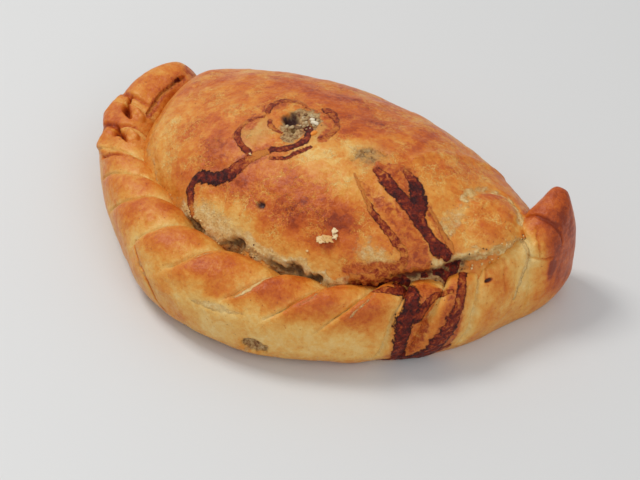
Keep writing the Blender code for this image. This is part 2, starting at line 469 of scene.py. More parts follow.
def pocket_colours(points, normals, marks):
    """Browning, bare pastry, filling, juice and painted shade over the pocket, each a number for the crust's
    material.
    """
    facing_up = normals[..., 2]
    # Darker where the surface faces up: partly the top's own browning, partly painted shade for the dimmer
    # light on the top.
    browning = 0.50 + 0.10 * ease(facing_up, 0.2, 0.9)
    browning += 0.07 * lumps(points, 14, 31) + 0.08 * lumps(points, 6, 32)
    for x, y, wide, deep, change in POCKET_PATCHES:
        browning += 1.25 * change * spot(marks["at"], (x, y), (wide, deep), 0.6) * marks["top"]
    browning -= 0.12 * (1 - ease(marks["bump"], 0.9, 1.5)) * ease(marks["bump"], 0.75, 1.1)
    browning -= 0.12 * marks["blister"]
    x = points[..., 0]
    wide = 1.2 + 2.6 * ease(x, 30, -20) + 2.6 * ease(x, 45, 50)
    wide = wide - 1.6 * ease(x, 60, 68) + 3.2 * ease(np.abs(x + 32), 14, 5)
    crumbly = 1 - ease(x, 48, 54) * (0.22 - 0.35 * lumps(points, 1.8, 34))
    bare = ease(marks["edge_gap"], wide, 0.2) * ease(marks["edge_gap"], -1.6, -0.4) * marks["front"] * crumbly
    bare = np.maximum(bare, 0.56 * spot(marks["at"], (33, -16), (9, 4), 0.7))
    bare = np.maximum(bare, (0.62 + 0.5 * lumps(points, 1.8, 34)) * ease(marks["crack"], -0.2, 0.5))
    bare = np.maximum(bare, 0.48 * spot(marks["at"], (50, 10), (3.5, 9), 0.6))
    seam = ease(np.abs(marks["edge_gap"]), 1.4, 0.2) * (1 - marks["front"]) * marks["top"]
    bare = np.maximum(bare, 0.38 * seam)
    filling = ease(marks["edge_gap"], -0.3, -1.0) * marks["gape"] * ease(x, 66, 56) * marks["front"]
    filling = filling * (0.6 + 0.5 * lumps(points, 2.5, 33) * ease(x, 20, 28))
    filling = np.maximum(filling, marks["mash"])
    grey = 0.44 * spot(marks["at"], (11, 16), (7, 5.5), 0.6) + 0.14 * ease(marks["wrinkle"], -0.4, 0.6)
    filling = np.maximum(filling, grey)
    tan = np.maximum(marks["blister"], spot(marks["at"], (12, 16), (7, 7), 0.6))
    # Painted shade: near-black laid into the small pit, the hollow round the vent hole and the groove's crack
    # line, where shade falls.
    painted_shade = np.maximum(marks["pit"], marks["hollow"])
    painted_shade = np.maximum(painted_shade, marks["crack_line"] * (0.3 + 0.5 * marks["gape"]))
    return dict(browning=browning, bare=bare, filling=filling, juice=marks["juice"],
                juice_depth=marks["depth"], pit=painted_shade, tan=tan, tint=marks["tint"])


# ---------------------------------------------------------------- what marks the roll
# Each row is distance along the crest, angle round the section, half width and strength.
CURLS = (
    # raised walls and tongues: the strength is the height
    ((35, 50, 5, 1.5), (41, 35, 5, 2.2), (47, 45, 5, 1.5)),
    ((52, 48, 4, 1.5), (55, 30, 5, 2.2), (60, 40, 4, 1.5)),
    ((44, 100, 3, 1.8), (47, 110, 3, 1.8)),
    ((57, 95, 3, 1.6), (60, 105, 3, 1.6)),
    ((63, 100, 2, 1.2), (65, 120, 3, 1.2)),
)
HOLLOWS = (
    ((36, 78, 2, 3), (40, 74, 3, 6), (44, 84, 2, 4.5), (48, 92, 1, 2)),
    ((51, 68, 2, 3), (55, 70, 3, 6), (58, 80, 2, 4.5), (62, 88, 1, 2)),
    ((44, 122, 1.2, 1.6), (20, 122, 1.2, 1.6), (12, 118, 1.4, 2.6), (9, 115, 1.0, 1.6)),
)
FINE_CREASES = (
    ((47, 20, 1.2, 1.2), (50, 60, 1.5, 2.0), (56, 130, 0.8, 0.8)),
    ((30, 40, 1.2, 1.2), (35, 75, 1.5, 2.0), (39, 130, 0.9, 1.0)),
    ((64, 35, 1.2, 1.4), (70, 75, 1.2, 1.6), (75, 105, 0.9, 0.8)),
    ((252, 100, 0.6, 0.6), (249, 55, 0.6, 0.8)),
    ((258, 80, 0.7, 0.4), (255, 20, 0.7, 0.4)),
    ((262, 65, 0.7, 0.4), (259, 5, 0.7, 0.4)),
    ((267, 50, 0.7, 0.9), (276, 30, 0.6, 0.8)),
    ((275, 85, 0.6, 0.7), (271, 45, 0.6, 0.8)),
    ((277, 115, 0.8, 0.7), (279, 75, 0.9, 0.9), (281, 35, 0.7, 0.6)),
)
BELLY_CRACK = ((114, 35, 0.6, 0.8), (125, 20, 0.8, 1.7), (135, -15, 0.5, 0.8))
WHITE_CRACK = ((269, 95, 0.9, 0.9), (267, 50, 1.1, 1.0), (260, 5, 0.6, 0.4))
PALE_SEAMS = (
    ((115, 35, 1.0, 0.4), (132, 5, 1.0, 0.4)),
    ((147, 28, 1.8, 0.5), (155, 32, 3.0, 0.8), (165, 38, 1.2, 0.4)),
    ((170, 105, 1.2, 0.7), (164, 75, 1.5, 0.9), (158, 50, 0.8, 0.4)),
    ((208, 85, 0.6, 0.5), (203, 65, 0.9, 0.7), (198, 45, 0.6, 0.5)),
    ((190, 95, 0.6, 0.4), (185, 75, 0.8, 0.6), (181, 60, 0.5, 0.3)),
    ((146, 105, 0.6, 0.4), (142, 85, 0.8, 0.6), (138, 60, 0.5, 0.4)),
    ((125, 105, 0.4, 0.4), (120, 50, 0.4, 0.4)),
)
ROLL_TRAILS = (
    ((42, 122, 0.8, 0.4), (20, 122, 0.9, 0.4), (12, 118, 1.0, 0.8)),
    ((208, 92, 0.8, 0.6), (219, 95, 3.0, 0.9)),
    curve((218, 105, 2.4, 0.8), (221, 75, 2.9, 0.9), (218, 35, 2.9, 1.0), (216, 0, 2.5, 0.9),
          (217, -50, 2.8, 0.9)),
    curve((235, 65, 1.0, 0.6), (228, 61, 1.7, 0.7), (222, 35, 2.2, 0.9)),
    curve((247, 105, 1.6, 0.9), (241, 80, 1.7, 0.8), (237, 45, 2.2, 0.7), (231, 5, 3.3, 0.8),
          (222, -50, 4.4, 0.9)),
    ((210, -44, 2.0, 0.8), (222, -40, 3.0, 1.0), (233, -28, 2.0, 0.8)),
)
ROLL_TINTS = (
    ((238, 70, 3, 0.8), (232, 5, 5, 0.8), (228, -30, 6, 0.8)),
    ((232, 70, 3, 0.6), (225, 80, 4, 0.8)),
    ((224, 60, 6, 0.7), (217, -30, 5, 0.7)),
    ((44, 124, 2, 0.7), (12, 118, 3, 0.9)),
    ((2, 60, 3, 0.3), (6, 100, 3, 0.5)),
)
# Broad dips of the roll: distance, angle, reach along, reach in degrees and depth, below 0 for a swell.
ROLL_DIPS = (
    (222, 125, 30, 48, 2.2),
    (188, 130, 16, 34, 1.0),
    (20, 88, 18, 30, -1.5),
    (24, 150, 24, 36, -3.2),
    (290, 22, 12, 36, 1.2),
    (290, 152, 14, 40, 1.4),
    (294, 90, 9, 60, 1.3),
    (182, -20, 44, 110, 3.0),
)
# Single marks, each at a distance and an angle, and the flakes that stand round the broken spot.
BROKEN_SPOT = (169, -11)
BROKEN_FLAKES = ((166, -22), (171, -21), (173, -6))
EAR_LOBE = (271, 50)
DARK_SPOT = (275, 17)
RED_PIT = (250, 55)
BUBBLE = (113, 74)

# Patches of the roll: distance, angle, reach along, reach in degrees, change of browning.
ROLL_PATCHES = (
    (20, 70, 22, 50, 0.12),
    (46, 60, 14, 50, 0.14),
    (72, 55, 14, 40, 0.08),
    (95, 60, 12, 30, 0.06),
    (111, 78, 7, 26, 0.08),
    (136, 84, 7, 26, 0.12),
    (154, 70, 9, 26, 0.12),
    (176, 78, 8, 24, 0.18),
    (194, 66, 8, 26, 0.16),
    (209, 48, 7, 26, 0.14),
    (228, 52, 5, 30, 0.10),
    (244, 60, 5, 30, 0.06),
    (291, 60, 17, 100, 0.38),
    (279, 20, 10, 60, 0.24),
    (270, 48, 6, 34, -0.24),
    (20, 140, 26, 26, 0.20),
    (44, 60, 16, 60, 0.10),
    (262, 60, 9, 50, -0.08),
    (120, 0, 40, 26, 0.08),
    (160, 10, 26, 26, -0.16),
    (195, 0, 20, 26, -0.14),
    (155, 34, 10, 10, -0.12),
)


def round_roll(distance, angle, points):
    """Places on the roll in millimetres along and round, with the same small wander as the pocket's."""
    at = np.stack([distance, angle * ARC_PER_DEGREE], axis=-1)
    return at + wobble(points, 6, 41) * 0.8 + wobble(points, 1.6, 43) * 0.3


def roll_spot(at, centre, reach, edge):
    """A spot on the roll, whose centre and reach are given in millimetres along and degrees round."""
    scale = np.array([1, ARC_PER_DEGREE])
    return spot(at, centre * scale, reach * scale, edge)


def roll_path(rows):
    """A path given in degrees round the section, turned into millimetres."""
    return [(distance, angle * ARC_PER_DEGREE, width, strength) for distance, angle, width, strength in rows]


def strokes(at, paths):
    """Sum of soft strokes along paths, each as high as its strength on its line and 0 at its edge."""
    total = np.zeros(at.shape[:-1])
    for path in paths:
        near, strength = along_path(at, roll_path(path))
        total = np.maximum(total, ease(near, 0, 1) * strength)
    return total


def folds(distance, angle, points):
    """The crimps: after each slanting crease a fold rises fast and falls slowly to the next one.

    Returns the height, each point's nearness to a crease line and its nearness to a crease's sides.
    """
    wander = 0.9 * lumps(points, 12, 51) + 0.35 * lumps(points, 3.5, 52)
    rows = np.array(FOLDS, float)
    places = np.concatenate([[0.0], np.cumsum(rows[:, 0])])
    crease = np.concatenate([rows, rows[-1:]])
    places = places + crease[:, 1] * (angle[..., None] - 90)
    where = distance[..., None] + wander[..., None] - places
    fold = np.clip((where > 0).sum(axis=-1) - 1, 0, len(crease) - 2)
    before = np.take_along_axis(where, fold[..., None], -1)[..., 0]
    after = -np.take_along_axis(where, fold[..., None] + 1, -1)[..., 0]
    through = np.clip(before / np.maximum(before + after, 0.1), 0, 1)
    shape = np.sin(np.pi * through**0.58)**0.75 - 0.45
    low = crease[fold, 2]
    lasting = ease(angle, low - 12, low + 38) * ease(angle, 178, 140)
    height = crease[fold, 3] * shape * lasting
    nearest = np.where(before < after, before, after)
    low_here = np.where(before < after, low, crease[np.minimum(fold + 1, len(crease) - 1), 2])
    shown = ease(angle, low_here - 10, low_here + 20) * ease(angle, 175, 150)
    gap = np.clip(1 - nearest / 0.9, 0, 1) * shown
    side = np.clip(1 - nearest / 3.0, 0, 1) * shown
    return height, gap, side


def roll_marks(points, distance, angle):
    """Everything that the roll's relief and colours share, worked out once for each point."""
    at = round_roll(distance, angle, points)
    height, crease_gap, crease_side = folds(distance, angle, points)
    juice, depth = stains(at, [roll_path(path) for path in ROLL_TRAILS])
    tint = tinted(at, [roll_path(path) for path in ROLL_TINTS])
    white, _ = along_path(at, roll_path(WHITE_CRACK))
    turn = np.array([1, ARC_PER_DEGREE])
    ragged = at + 1.1 * wobble(points, 2.2, 45)
    broken = spot(ragged, BROKEN_SPOT * turn, (4.2, 3.2), 0.2)
    ear = spot(at, EAR_LOBE * turn, (3.2, 4.4), 0.4)
    dark_spot = spot(at, DARK_SPOT * turn, (1.8, 2.4), 0.4)
    red_pit = spot(at, RED_PIT * turn, (1.6, 0.9), 0.4)
    bubble = spot(at, BUBBLE * turn, (2.0, 1.8), 0.5)
    return dict(at=at, height=height, crease_gap=crease_gap, crease_side=crease_side, tint=tint,
                juice=np.clip(juice, -3, 1), depth=depth, white=white, broken=broken, ear=ear,
                dark_spot=dark_spot, red_pit=red_pit, bubble=bubble, hollow=strokes(at, HOLLOWS),
                fine=strokes(at, FINE_CREASES + (BELLY_CRACK,)),
                curl=strokes(at, CURLS), seam=strokes(at, PALE_SEAMS))


def roll_relief(points, marks):
    """Height of the roll's surface over its plain form, along the normal."""
    height = 1.15 * marks["height"] - 1.2 * marks["crease_gap"]
    height += 0.8 * lumps(points, 18, 61) + 0.35 * lumps(points, 7, 62) + 0.06 * lumps(points, 2, 63)
    height += marks["curl"] - marks["hollow"] - marks["fine"] - 0.5 * marks["seam"]
    height -= 1.0 * ease(marks["white"], 0, 0.8) * (0.5 + 0.5 * lumps(points, 1.2, 64))
    height += 0.7 * marks["ear"] - 0.9 * marks["red_pit"] + 0.4 * marks["bubble"]
    height -= 2.4 * marks["broken"] * (1 + 0.4 * lumps(points, 1.6, 66))
    height += ease(marks["juice"], -0.1, 0.4) * (0.2 + 0.35 * marks["depth"] * lumps(points, 1.5, 65))
    for place, degrees, wide, tall, deep in ROLL_DIPS:
        height -= deep * roll_spot(marks["at"], (place, degrees), (wide, tall), 0.5)
    return height


def roll_colours(points, marks):
    """Browning, bare pastry, filling and juice over the roll, with painted shade in its hollows and creases,
    each a number for the crust's material.
    """
    exposed = ease(marks["height"], -0.9, 2.0)
    browning = 0.29 + 0.34 * exposed - 0.14 * marks["crease_side"]
    browning += 0.06 * lumps(points, 12, 71) + 0.05 * lumps(points, 5, 72)
    for place, degrees, wide, tall, change in ROLL_PATCHES:
        browning += change * roll_spot(marks["at"], (place, degrees), (wide, tall), 0.8)
    # Painted shade: darker browning in the curls' hollows and along the fine creases, where shade falls.
    browning += 0.40 * np.clip(marks["hollow"] / 4, 0, 1) + 0.22 * np.clip(marks["fine"], 0, 1)
    browning += 0.5 * marks["dark_spot"] + 0.5 * marks["red_pit"] + 0.10 * marks["bubble"]
    browning -= 0.10 * marks["crease_gap"]
    # Painted shade: the belly crack is darkened as a shadow line.
    belly, _ = along_path(marks["at"], roll_path(BELLY_CRACK))
    browning += 0.5 * ease(belly, 0.1, 0.8)
    bare = np.clip(marks["seam"], 0, 1) + 0.9 * ease(marks["white"], -0.3, 0.6)
    return dict(browning=browning, bare=np.clip(bare, 0, 1), filling=marks["broken"], juice=marks["juice"],
                juice_depth=marks["depth"], pit=marks["red_pit"], tan=np.zeros(bare.shape),
                tint=marks["tint"])


# ---------------------------------------------------------------- meshes
def skin_mesh(name, rows, numbers):
    """A closed skin over rows of points that close on themselves, each end drawn into one point.

    Faces are quads between neighbouring rows and fans at the ends. Each named number goes to its
    vertex, and the skin's own map runs along the rows and round them.
    """
    columns, count = rows.shape[:2]
    body = rows[1:-1].reshape(-1, 3)
    points = np.concatenate([body, rows[0].mean(axis=0)[None], rows[-1].mean(axis=0)[None]])
    inner = columns - 2
    index = np.arange(inner * count).reshape(inner, count)
    following = np.roll(index, -1, axis=1)
    quads = np.stack([index[:-1], following[:-1], following[1:], index[1:]], axis=-1).reshape(-1, 4)
    first, last = len(body), len(body) + 1
    fan_a = np.stack([following[0], index[0], np.full(count, first)], axis=-1)
    fan_b = np.stack([index[-1], following[-1], np.full(count, last)], axis=-1)
    a, b, c = points[quads[:, 0]], points[quads[:, 1]], points[quads[:, 2]]
    if np.einsum("ij,ij->i", np.cross(b - a, c - a), a + b + c).sum() < 0:
        quads, fan_a, fan_b = quads[:, ::-1], fan_a[:, ::-1], fan_b[:, ::-1]
    mesh = bpy.data.meshes.new(name)
    mesh.from_pydata(points.tolist(), [], quads.tolist() + fan_a.tolist() + fan_b.tolist())
    mesh.shade_smooth()
    for key, values in numbers.items():
        whole = np.concatenate([values[1:-1].ravel(), [values[0].mean(), values[-1].mean()]])
        layer = mesh.attributes.new(key, "FLOAT", "POINT")
        layer.data.foreach_set("value", whole.astype(np.float32))
    corner = np.empty(len(mesh.loops), np.int32)
    mesh.loops.foreach_get("vertex_index", corner)
    column = np.where(corner < first, corner // count + 1, np.where(corner == first, 0, columns - 1))
    row = np.where(corner < first, corner % count, 0).astype(float)
    sizes = np.concatenate([np.full(len(quads), 4), np.full(2 * count, 3)])
    face = np.repeat(np.arange(len(sizes)), sizes)
    widest = np.zeros(len(sizes))
    np.maximum.at(widest, face, row)
    row = np.where((row == 0) & (widest[face] > count / 2), count, row)
    tip = corner >= first
    row = np.where(tip, widest[face] - 0.5, row)
    flat = np.stack([column / (columns - 1), row / count], axis=-1).astype(np.float32)
    mesh.uv_layers.new(name="OFBake").data.foreach_set("uv", flat.ravel())
    return mesh


def piece(name, mesh, *materials):
    """Put a finished mesh into the scene as a piece of the pasty, which rides on its one body."""
    for material in materials:
        mesh.materials.append(material)
    thing = bpy.data.objects.new(name, mesh)
    bpy.context.scene.collection.objects.link(thing)
    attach(thing, "root")
    return thing


# ---------------------------------------------------------------- materials
class Recipe:
    """A material's nodes, with short calls for the few kinds that the pastry needs."""

    def __init__(self, name):
        self.material = bpy.data.materials.new(name)
        self.material.use_nodes = True
        self.nodes = self.material.node_tree.nodes
        self.links = self.material.node_tree.links
        self.shader = self.nodes["Principled BSDF"]
        self.place = self.nodes.new("ShaderNodeTexCoord").outputs["Object"]

    def put(self, socket, value):
        """Link a node's output to a socket, or set a plain value on it."""
        if isinstance(value, bpy.types.NodeSocket):
            self.links.new(value, socket)
        elif isinstance(value, tuple) and len(value) == 3 and socket.type == "RGBA":
            socket.default_value = (*value, 1)
        else:
            socket.default_value = value

    def number(self, name):
        """A number stored on the mesh."""
        node = self.nodes.new("ShaderNodeAttribute")
        node.attribute_name = name
        return node.outputs["Fac"]

    def maths(self, kind, a, b=0.0, c=0.0):
        """One sum of up to three values."""
        node = self.nodes.new("ShaderNodeMath")
        node.operation = kind
        for socket, value in zip(node.inputs, (a, b, c)):
            self.put(socket, value)
        return node.outputs[0]

    def times(self, a, b):
        """One value multiplied by another."""
        return self.maths("MULTIPLY", a, b)

    def scaled(self, value, by, plus):
        """A value multiplied by one value and raised by another."""
        return self.maths("MULTIPLY_ADD", value, by, plus)

    def most(self, a, b):
        """The larger of two values."""
        return self.maths("MAXIMUM", a, b)

    def line(self, value, level, width):
        """1 where a value crosses a level, fading to 0 at the given width to each side."""
        off = self.maths("ABSOLUTE", self.maths("SUBTRACT", value, level))
        return self.between(off, 0.0, width, 1, 0)

    def pattern(self, kind, size_mm, place):
        """A pattern's node, with lumps or cells of about the given size."""
        node = self.nodes.new("ShaderNodeTex" + kind)
        self.put(node.inputs["Vector"], place)
        node.inputs["Scale"].default_value = 1 / (size_mm * MM)
        return node

    def noise(self, size_mm, detail=3.0, rough=0.55, warp=0.0):
        """Cloudy noise from 0 to 1, whose lumps are about the given size."""
        node = self.pattern("Noise", size_mm, self.place)
        node.inputs["Detail"].default_value = detail
        node.inputs["Roughness"].default_value = rough
        node.inputs["Distortion"].default_value = warp
        return node.outputs["Fac"]

    def bent_place(self, size_mm, by_mm):
        """The place moved about by noise, which bends a pattern that reads it."""
        node = self.pattern("Noise", size_mm, self.place)
        node.inputs["Detail"].default_value = 3
        shift = self.nodes.new("ShaderNodeVectorMath")
        shift.operation = "MULTIPLY_ADD"
        self.put(shift.inputs[0], node.outputs["Color"])
        shift.inputs[1].default_value = (by_mm * MM,) * 3
        self.put(shift.inputs[2], self.place)
        return shift.outputs[0]

    def cracks(self, cell_mm, place):
        """Distance to the nearest edge between cells of the given size, as a share of the cell."""
        node = self.pattern("Voronoi", cell_mm, place)
        node.feature = "DISTANCE_TO_EDGE"
        return node.outputs["Distance"]

    def leaves(self, cell_mm, place):
        """A flat value from 0 to 1 for each cell of the given size, like overlapping flakes."""
        node = self.pattern("Voronoi", cell_mm, place)
        split = self.nodes.new("ShaderNodeSeparateColor")
        self.put(split.inputs[0], node.outputs["Color"])
        return split.outputs[0]

    def between(self, value, low, high, from_value=0.0, to_value=1.0):
        """A value carried smoothly from one range to another and held at its ends."""
        node = self.nodes.new("ShaderNodeMapRange")
        node.interpolation_type = "SMOOTHSTEP"
        for socket, given in zip(node.inputs, (value, low, high, from_value, to_value)):
            self.put(socket, given)
        return node.outputs["Result"]

    def blend(self, share, first, second):
        """One colour laid over another by a share."""
        node = self.nodes.new("ShaderNodeMix")
        node.data_type = "RGBA"
        self.put(node.inputs["Factor"], share)
        self.put(node.inputs["A"], first)
        self.put(node.inputs["B"], second)
        return node.outputs["Result"]

    def ramp(self, value, stops):
        """A run of colours, each at its own place between 0 and 1."""
        node = self.nodes.new("ShaderNodeValToRGB")
        self.put(node.inputs["Fac"], value)
        marks = node.color_ramp.elements
        while len(marks) < len(stops):
            marks.new(0.5)
        for mark, (at, colour) in zip(marks, stops):
            mark.position = at
            mark.color = (*colour, 1)
        return node.outputs["Color"]

    def bump(self, height, depth_mm, strength=1.0, below=None):
        """Fine relief as deep as given, over any relief below it."""
        node = self.nodes.new("ShaderNodeBump")
        node.inputs["Distance"].default_value = depth_mm * MM
        node.inputs["Strength"].default_value = strength
        self.put(node.inputs["Height"], height)
        if below is not None:
            self.put(node.inputs["Normal"], below)
        return node.outputs["Normal"]


BROWNING_COLOURS = (
    (0.00, (0.80, 0.56, 0.22)),
    (0.22, (0.76, 0.43, 0.110)),
    (0.40, (0.71, 0.295, 0.048)),
    (0.56, (0.64, 0.190, 0.019)),
    (0.72, (0.54, 0.110, 0.009)),
    (0.86, (0.42, 0.066, 0.006)),
    (1.00, (0.24, 0.030, 0.004)),
)
JUICE_HALO = (0.50, 0.14, 0.022)
JUICE_COLOURS = (
    (0.00, (0.60, 0.19, 0.028)),
    (0.28, (0.38, 0.060, 0.010)),
    (0.55, (0.18, 0.014, 0.004)),
    (1.00, (0.035, 0.004, 0.004)),
)
TINT_COLOURS = (
    (0.36, (0.60, 0.185, 0.020)),
    (0.50, (0.50, 0.100, 0.010)),
    (0.62, (0.32, 0.046, 0.006)),
)
BARE_COLOURS = (
    (0.30, (0.56, 0.25, 0.060)),
    (0.44, (0.75, 0.45, 0.150)),
    (0.58, (0.82, 0.57, 0.240)),
    (0.74, (0.88, 0.70, 0.410)),
)
FILLING_COLOURS = (
    (0.28, (0.06, 0.018, 0.010)),
    (0.40, (0.27, 0.11, 0.038)),
    (0.50, (0.48, 0.275, 0.105)),
    (0.62, (0.63, 0.43, 0.200)),
    (0.75, (0.44, 0.21, 0.060)),
)


def crust_material():
    """Egg-washed shortcrust: its browning, crazing, bare flaky edges, filling and baked-on juice, with
    painted shade in pits and cracks.
    """
    mix = Recipe("baked_crust")
    clouds = mix.noise(8, 5, 0.6)
    flecks = mix.noise(2.0, 5, 0.65)
    grain = mix.noise(0.6, 3, 0.6)
    bent = mix.bent_place(6, 7)
    leaf = mix.leaves(4.5, bent)
    browning = mix.scaled(clouds, 0.55, mix.number("browning"))
    browning = mix.scaled(flecks, 0.34, browning)
    browning = mix.scaled(grain, 0.10, browning)
    browning = mix.scaled(leaf, 0.08, browning)
    browning = mix.maths("SUBTRACT", browning, 0.535)
    glaze = mix.noise(6, 4, 0.6)
    veins = mix.line(glaze, 0.5, 0.014)
    fine_veins = mix.line(mix.noise(2.6, 4, 0.6), 0.5, 0.035)
    leaf_edge = mix.between(mix.cracks(4.5, bent), 0.0, 0.05, 1, 0)
    crazed_where = mix.between(mix.noise(11, 3), 0.44, 0.58)
    crazing = mix.most(veins, mix.times(mix.most(fine_veins, leaf_edge), 0.45))
    crazing = mix.times(mix.times(crazing, crazed_where), mix.number("crazed"))
    browning = mix.scaled(crazing, -0.42, browning)
    islands = mix.between(glaze, 0.475, 0.525, -0.04, 0.04)
    browning = mix.scaled(islands, mix.scaled(mix.number("crazed"), 0.8, 0.2), browning)
    colour = mix.ramp(browning, BROWNING_COLOURS)
    specks = mix.between(mix.noise(1.0, 2, 0.5), 0.70, 0.76)
    colour = mix.blend(mix.times(specks, 0.7), colour, (0.20, 0.05, 0.015))
    colour = mix.blend(mix.times(mix.number("tan"), 0.45), colour, (0.50, 0.26, 0.07))

    torn = mix.scaled(flecks, 1.3, mix.maths("SUBTRACT", mix.number("bare"), 0.65))
    bare = mix.between(torn, 0.25, 0.75)
    bare_colour = mix.ramp(mix.noise(2.2, 5, 0.7), BARE_COLOURS)
    colour = mix.blend(bare, colour, bare_colour)

    streaks = mix.noise(2.4, 5, 0.7, warp=0.6)
    tinted = mix.scaled(streaks, 1.8, mix.maths("SUBTRACT", mix.number("tint"), 0.9))
    tinted = mix.times(mix.between(tinted, -0.2, 0.6), mix.between(mix.number("tint"), 0.0, 0.35))
    colour = mix.blend(tinted, colour, mix.ramp(streaks, TINT_COLOURS))

    mashed = mix.scaled(flecks, 0.9, mix.maths("SUBTRACT", mix.number("filling"), 0.45))
    filling = mix.between(mashed, 0.3, 0.65)
    colour = mix.blend(filling, colour, mix.ramp(mix.noise(1.7, 4, 0.7), FILLING_COLOURS))
    # Near-black laid where the pit number is: painted shade in the pocket's pits, vent hole and groove crack;
    # on the roll it darkens the red pit.
    colour = mix.blend(mix.number("pit"), colour, (0.045, 0.012, 0.008))

    edge_noise = mix.scaled(mix.noise(1.8, 4, 0.65), 1.3, -0.65)
    juice = mix.maths("ADD", mix.number("juice"), edge_noise)
    depth = mix.number("juice_depth")
    halo = mix.times(mix.between(juice, -1.0, 0.1), 0.5)
    colour = mix.blend(mix.times(halo, depth), colour, JUICE_HALO)
    darkness = mix.scaled(streaks, 2.7, mix.scaled(depth, 1.3, -1.9))
    rim_line = mix.between(mix.maths("ABSOLUTE", mix.maths("SUBTRACT", juice, 0.14)), 0.22, 0.0, 0, 0.35)
    rim_line = mix.times(rim_line, mix.between(depth, 0.4, 0.7))
    darkness = mix.maths("ADD", darkness, rim_line)
    covered = mix.between(juice, -0.06, 0.12)
    colour = mix.blend(covered, colour, mix.ramp(darkness, JUICE_COLOURS))
    mix.put(mix.shader.inputs["Base Color"], colour)

    rough = mix.scaled(flecks, 0.25, 0.24)
    rough = mix.scaled(bare, 0.30, rough)
    rough = mix.scaled(covered, 0.06, rough)
    mix.put(mix.shader.inputs["Roughness"], rough)
    shine = mix.scaled(mix.most(covered, filling), -0.08, 0.28)
    mix.put(mix.shader.inputs["Specular IOR Level"], shine)

    relief = mix.bump(mix.noise(4.5, 4, 0.6), 0.9)
    relief = mix.bump(mix.scaled(crazing, -0.8, grain), 0.16, below=relief)
    rough_parts = mix.most(bare, mix.most(filling, covered))
    relief = mix.bump(mix.times(mix.noise(1.1, 4, 0.7), rough_parts), 0.8, below=relief)
    mix.put(mix.shader.inputs["Normal"], relief)
    return mix.material


# ---------------------------------------------------------------- the pasty
def seat(points, floor_height):
    """Press the underside flat at the given height."""
    pressed = points.copy()
    pressed[..., 2] = np.maximum(pressed[..., 2], floor_height)
    return pressed


def outward(points, middle):
    """Grid normals turned to point away from the middle of the form, or of each of its sections."""
    normals = grid_normals(points)
    if np.einsum("ijk,ijk->ij", normals, points - middle).mean() < 0:
        normals = -normals
    return normals


def lump_cloud(name, centres, sizes, seed, rings, spokes, dents=0.25, dent_size=0.8):
    """Small closed lumps in one mesh: a globe at each centre, squeezed to size, turned and dented.

    Each lump carries one number, its shade, between 0 and 1.
    """
    rng = np.random.default_rng(seed)
    down = np.linspace(0, np.pi, rings + 2)[1:-1, None]
    around = np.arange(spokes)[None] * 2 * np.pi / spokes
    ring = np.stack([np.sin(down) * np.cos(around), np.sin(down) * np.sin(around),
                     np.cos(down) + 0 * around], axis=-1).reshape(-1, 3)
    globe = np.concatenate([ring, [[0, 0, 1], [0, 0, -1]]])
    count = len(centres)
    dent = lumps(globe[None] + 5 * np.arange(count)[:, None, None], dent_size, seed)
    dented = globe[None] * (1 + dents * dent)[..., None] * np.asarray(sizes, float)[:, None, :]
    turn = rng.uniform(0, 2 * np.pi, count)[:, None]
    x = dented[..., 0] * np.cos(turn) - dented[..., 1] * np.sin(turn)
    y = dented[..., 0] * np.sin(turn) + dented[..., 1] * np.cos(turn)
    points = np.stack([x, y, dented[..., 2]], axis=-1) + np.asarray(centres, float)[:, None, :]
    index = np.arange(rings * spokes).reshape(rings, spokes)
    following = np.roll(index, -1, axis=1)
    top, bottom = rings * spokes, rings * spokes + 1
    quads = np.stack([index[:-1], index[1:], following[1:], following[:-1]], axis=-1).reshape(-1, 4)
    cap = np.stack([np.full(spokes, top), index[0], following[0]], axis=-1)
    base = np.stack([np.full(spokes, bottom), following[-1], index[-1]], axis=-1)
    starts = (np.arange(count) * len(globe))[:, None, None]
    faces = []
    for group in (quads, cap, base):
        faces += (group[None] + starts).reshape(-1, group.shape[1]).tolist()
    mesh = bpy.data.meshes.new(name)
    mesh.from_pydata((points.reshape(-1, 3) * MM).tolist(), [], faces)
    mesh.shade_smooth()
    shade = np.repeat(rng.uniform(0, 1, count), len(globe))
    mesh.attributes.new("shade", "FLOAT", "POINT").data.foreach_set("value", shade.astype(np.float32))
    return mesh


def on_skin(skin, places):
    """The surface point of a skin nearest to each place seen from above, the upper one if two are near."""
    seen = skin.reshape(-1, 3)
    seen = seen[seen[:, 2] > 8]
    gaps = (np.hypot(*(seen[:, :2] - place).T) - 0.02 * seen[:, 2] for place in places)
    return np.array([seen[np.argmin(gap)] for gap in gaps])


def bits_material(name, colours, rough):
    """Crumbs and bits of filling: each has its own shade, mottled by fine noise."""
    mix = Recipe(name)
    value = mix.scaled(mix.noise(0.8, 3, 0.6), 0.5, mix.times(mix.number("shade"), 0.75))
    mix.put(mix.shader.inputs["Base Color"], mix.ramp(mix.maths("SUBTRACT", value, 0.1), colours))
    mix.shader.inputs["Roughness"].default_value = rough
    mix.shader.inputs["Specular IOR Level"].default_value = 0.2
    mix.put(mix.shader.inputs["Normal"], mix.bump(mix.noise(0.5, 3, 0.6), 0.2))
    return mix.material


def along_edge(rng, count, start, end, spread):
    """Random places beside the torn edge, between two shares of its length."""
    edge = np.array(TORN_EDGE, float)
    knots = np.concatenate([[0], np.cumsum(np.linalg.norm(np.diff(edge, axis=0), axis=1))])
    share = rng.uniform(start, end, count) * knots[-1]
    x, y = (np.interp(share, knots, edge[:, i]) for i in (0, 1))
    return np.stack([x, y], axis=-1) + rng.normal(0, spread, (count, 2)) - (0, 0.8)


def crumbs(name, rng, centres, sizes, seed, material):
    """Tiny uneven crumbs at the given centres, between two sizes."""
    reach = rng.uniform(*sizes, (len(centres), 1)) * rng.uniform(0.6, 1.3, (len(centres), 3))
    piece(name, lump_cloud(name, centres, reach, seed, 3, 7, 0.4), material)


